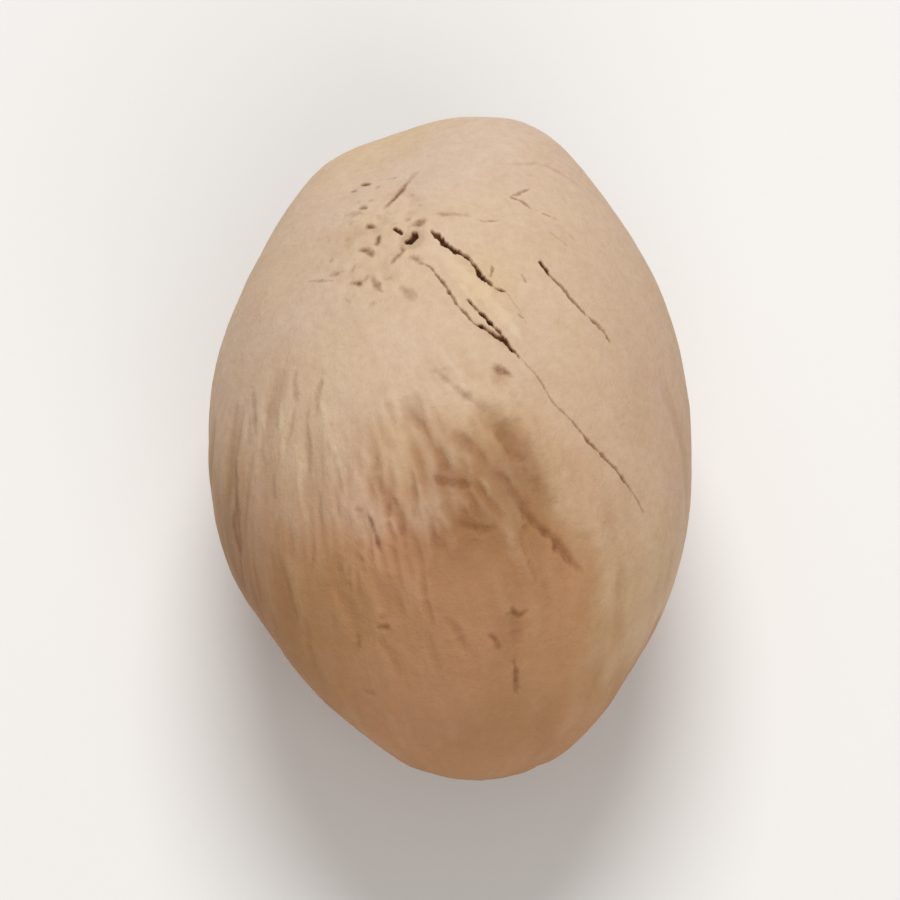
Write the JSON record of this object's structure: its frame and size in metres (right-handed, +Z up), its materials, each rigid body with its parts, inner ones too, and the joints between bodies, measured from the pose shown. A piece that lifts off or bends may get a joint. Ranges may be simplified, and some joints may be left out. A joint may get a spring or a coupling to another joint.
{
  "type": "whole nutmeg",
  "caption": "Whole dried nutmeg kernel lying on its side, with lengthwise folds, a pit at the hilum end and shrinkage cracks running from it.",
  "frame": {"origin": "middle of the kernel's box in X and Y, at the level of the flat that it rests on", "axes": "+Y along the kernel's length, towards the end by the hilum pit; +Z up, through the side with the cracks; +X across"},
  "size_m": [0.0196, 0.0282, 0.0186],
  "materials": {
    "kernel": "matte, pale pinkish brown bloom over a warmer brown, darker in the folds and cracks"
  },
  "bodies": {
    "root": {"nutmeg": "kernel"}
  },
  "joints": []
}
